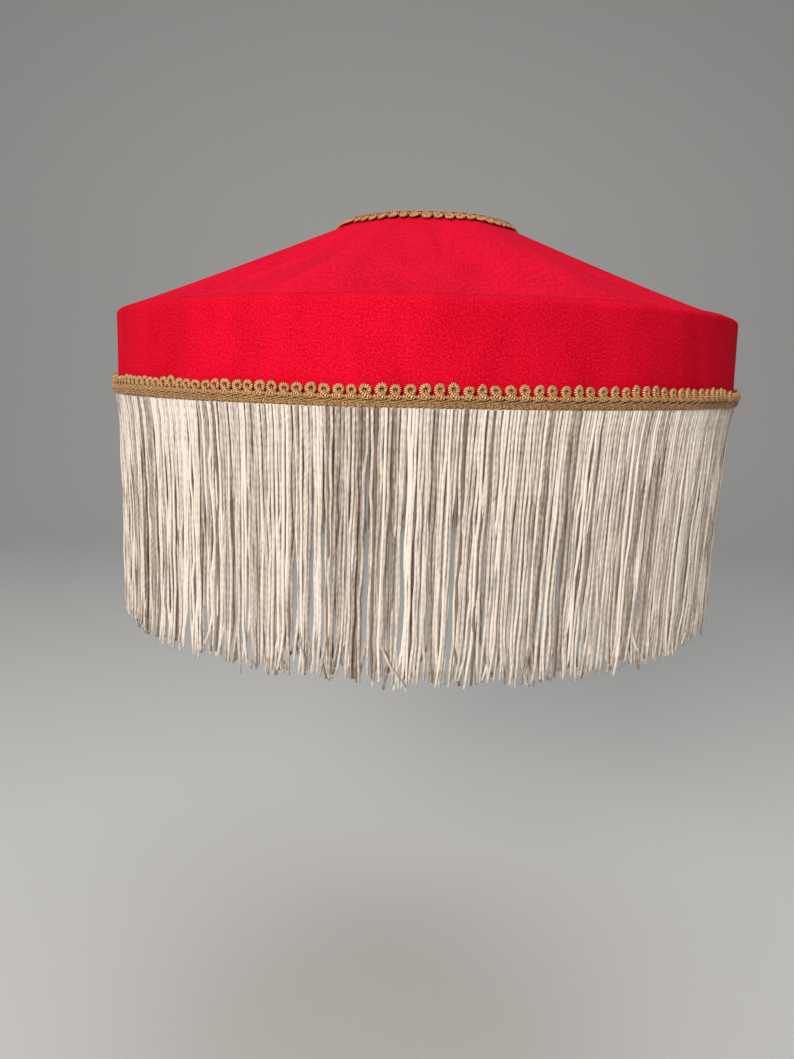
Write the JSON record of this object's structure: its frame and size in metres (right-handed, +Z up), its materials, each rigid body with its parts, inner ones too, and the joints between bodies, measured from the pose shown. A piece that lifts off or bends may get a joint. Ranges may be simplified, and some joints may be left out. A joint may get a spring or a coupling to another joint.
{
  "type": "lamp shade",
  "caption": "Round collared lamp shade: sloping velvet crown and short skirt on a wire frame, gimp braid, long cut fringe, satin lining and a tilting recessed gimbal fitter.",
  "frame": {"origin": "centre of the gimbal ring, in its plane, inside the lampholder bore of the reducer ring", "axes": "+Z up along the shade's axis; +Y along the pivot axis of the gimbal, towards the back rivet; the shade seen from -Y is its front"},
  "size_m": [0.4074, 0.4074, 0.2467],
  "materials": {
    "coated_wire": "white epoxy powder coat on steel wire, semi-gloss",
    "moulded_plastic": "white moulded heat-resistant plastic",
    "plated_rivet": "zinc-plated steel",
    "cotton_tape": "plain-woven cotton binding tape",
    "velvet": "short-pile red velvet",
    "satin": "ivory satin",
    "gimp": "antique gold rayon scroll gimp",
    "fringe": "cream rayon cut fringe"
  },
  "bodies": {
    "fitter": {"gimbal_ring": "coated_wire", "reducer_ring": "moulded_plastic", "pivot_rivet_front": "plated_rivet", "pivot_rivet_back": "plated_rivet"},
    "shade": {"top_ring": "coated_wire", "shoulder_ring": "coated_wire", "bottom_ring": "coated_wire", "crown_strut_1": "coated_wire", "crown_strut_2": "coated_wire", "crown_strut_3": "coated_wire", "crown_strut_4": "coated_wire", "crown_strut_5": "coated_wire", "crown_strut_6": "coated_wire", "crown_strut_7": "coated_wire", "crown_strut_8": "coated_wire", "skirt_strut_1": "coated_wire", "skirt_strut_2": "coated_wire", "skirt_strut_3": "coated_wire", "skirt_strut_4": "coated_wire", "skirt_strut_5": "coated_wire", "skirt_strut_6": "coated_wire", "skirt_strut_7": "coated_wire", "skirt_strut_8": "coated_wire", "drop_arm_front": "coated_wire", "drop_arm_back": "coated_wire", "top_ring_tape": "cotton_tape", "shoulder_ring_tape": "cotton_tape", "bottom_ring_tape": "cotton_tape", "crown_cover": "velvet", "skirt_cover": "velvet", "lining": "satin", "neatener_1": "satin", "neatener_2": "satin", "neatener_3": "satin", "neatener_4": "satin", "top_gimp": "gimp", "bottom_gimp": "gimp", "fringe_header": "fringe", "fringe": "fringe"}
  },
  "joints": [
    {"name": "shade_tilt", "type": "hinge", "parent": "fitter", "child": "shade", "pos_m": [0, 0, 0.0055], "axis": [0, 1, 0], "continuous": true}
  ]
}
